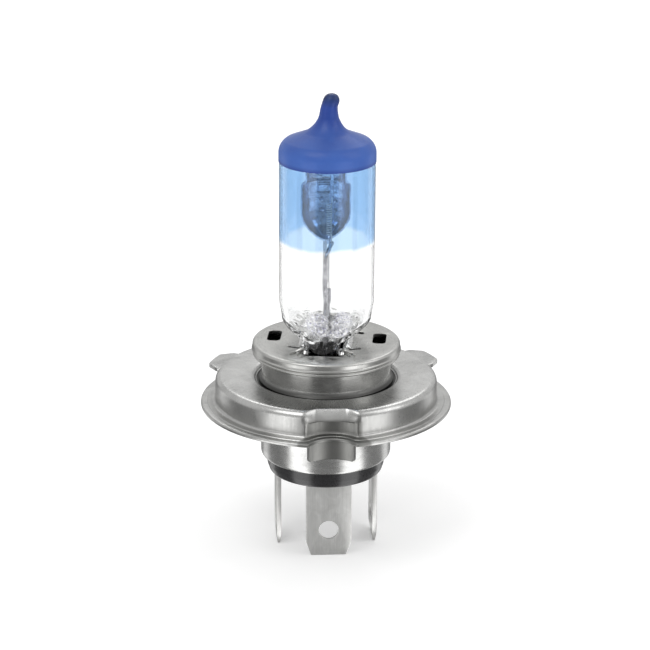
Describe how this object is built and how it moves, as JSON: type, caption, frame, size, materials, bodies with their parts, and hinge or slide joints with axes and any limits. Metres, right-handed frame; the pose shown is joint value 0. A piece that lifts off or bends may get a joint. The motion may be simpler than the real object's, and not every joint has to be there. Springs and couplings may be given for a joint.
{
  "type": "headlight bulb",
  "caption": "Twin-filament halogen headlight bulb with a flanged metal cap, a domed glass tube with a coated tip and flat blade terminals.",
  "frame": {"origin": "centre of the cap plate's upper face, the reference plane that the headlight's lugs rest on", "axes": "+Z along the bulb axis towards the glass tip, -Y towards the key recess and the middle blade"},
  "size_m": [0.043, 0.0426, 0.0796],
  "materials": {
    "glass": "clear quartz tube, polished",
    "tip_coat": "opaque blue baked coating, satin",
    "filter_coat": "transparent light blue film",
    "tungsten": "drawn tungsten wire",
    "molybdenum": "bright pressed molybdenum",
    "sheet_steel": "satin nickel-plated steel sheet",
    "spring_steel": "bright spring steel",
    "black_plastic": "moulded black insulator",
    "tinned_brass": "matte tin-plated brass blades"
  },
  "bodies": {
    "root": {"glass_envelope": "glass", "tip_coating": "tip_coat", "filter_coating": "filter_coat", "dip_filament": "tungsten", "main_filament": "tungsten", "dip_shield": "molybdenum", "inner_lead_common": "molybdenum", "inner_lead_dip": "molybdenum", "inner_lead_main": "molybdenum", "foil_common": "molybdenum", "foil_dip": "molybdenum", "foil_main": "molybdenum", "outer_lead_common": "molybdenum", "outer_lead_dip": "molybdenum", "outer_lead_main": "molybdenum", "retainer_disc": "sheet_steel", "pinch_clip_left": "spring_steel", "pinch_clip_right": "spring_steel", "holder_cup": "sheet_steel", "base_ring": "sheet_steel", "key_tongue": "sheet_steel", "lower_shell": "sheet_steel", "insulator": "black_plastic", "terminal_dip": "tinned_brass", "terminal_main": "tinned_brass", "terminal_earth": "tinned_brass"}
  },
  "joints": []
}
